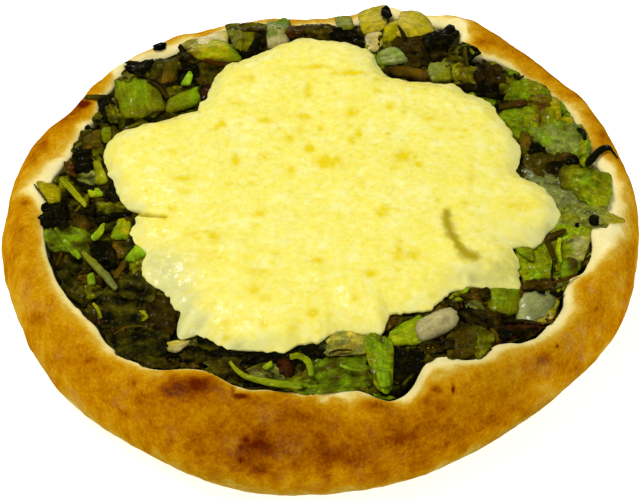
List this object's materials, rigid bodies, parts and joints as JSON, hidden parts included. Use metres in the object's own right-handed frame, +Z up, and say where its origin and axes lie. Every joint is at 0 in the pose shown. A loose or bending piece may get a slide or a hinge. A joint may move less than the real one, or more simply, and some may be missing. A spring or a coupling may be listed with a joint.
{
  "type": "sfiha",
  "caption": "Round open flatbread with a raised pinched rim, filled with chopped cooked greens under a sheet of melted cheese.",
  "frame": {"origin": "centre of the underside, which lies on Z = 0", "axes": "+Z up through the filling, -Y towards the side of the rim that is nearest in the picture"},
  "size_m": [0.1202, 0.1192, 0.022],
  "materials": {
    "crust": "baked dough, golden brown outside, cream at the lip",
    "greens": "moist cooked chopped leaves and stalks, dark brown-green to bright green",
    "cheese": "soft melted cheese, pale yellow with deeper yellow spots"
  },
  "bodies": {
    "root": {"crust": "crust", "greens": "greens", "cheese": "cheese"}
  },
  "joints": []
}
